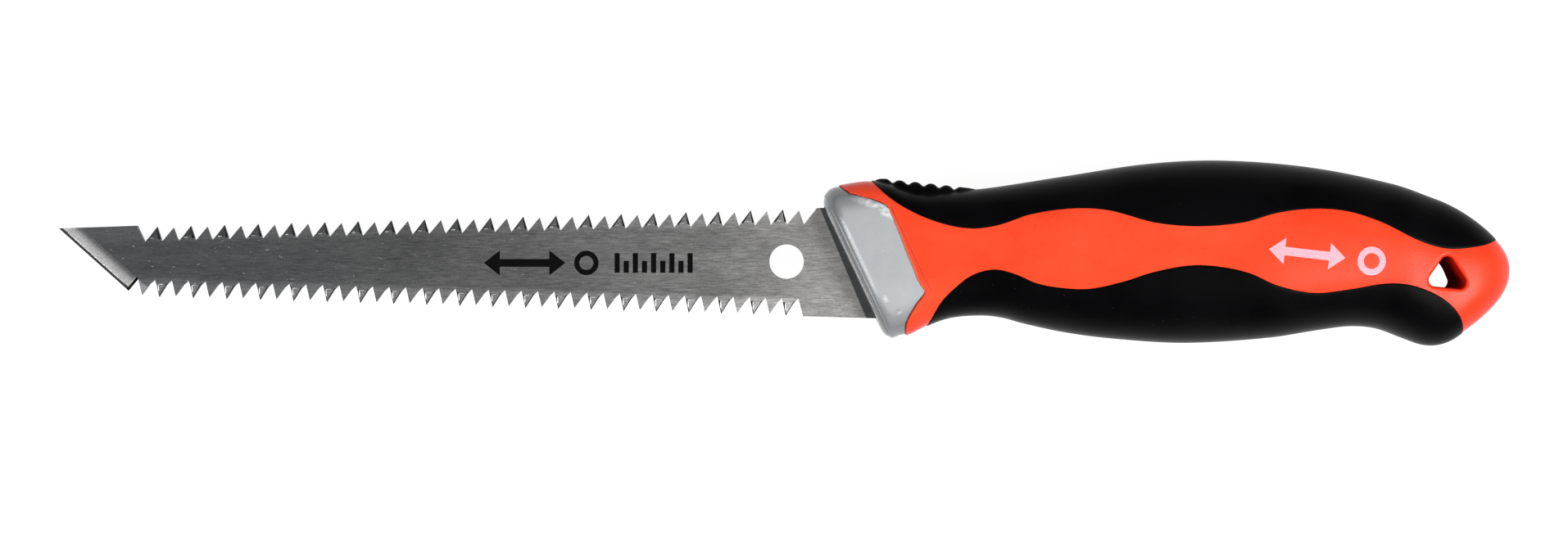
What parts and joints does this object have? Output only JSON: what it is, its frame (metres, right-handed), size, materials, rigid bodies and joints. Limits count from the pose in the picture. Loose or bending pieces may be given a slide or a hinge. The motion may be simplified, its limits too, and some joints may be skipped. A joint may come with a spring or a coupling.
{
  "type": "drywall saw",
  "caption": "Double-edged drywall jab saw with a slanted knife point, a metal-look nose and a two-tone handle with soft grips and a hang hole.",
  "frame": {"origin": "centre of the bounding box in X and Y, at the bottom of the handle's side, with the saw lying on its side", "axes": "+X from the knife point to the butt of the handle, +Y towards the thumb rest, +Z through the thickness, up from the table"},
  "size_m": [0.2782, 0.0352, 0.026],
  "materials": {
    "blade_steel": "brushed lengthwise",
    "nose_silver": "semi-gloss silver-grey",
    "core_orange": "semi-gloss",
    "pin_steel": "turned",
    "soft_grip": "satin"
  },
  "bodies": {
    "root": {"blade": "blade_steel", "nose_cap": "nose_silver", "left_core": "core_orange", "right_core": "core_orange", "front_tang_pin": "pin_steel", "rear_tang_pin": "pin_steel", "upper_grip": "soft_grip", "lower_grip": "soft_grip"}
  },
  "joints": []
}
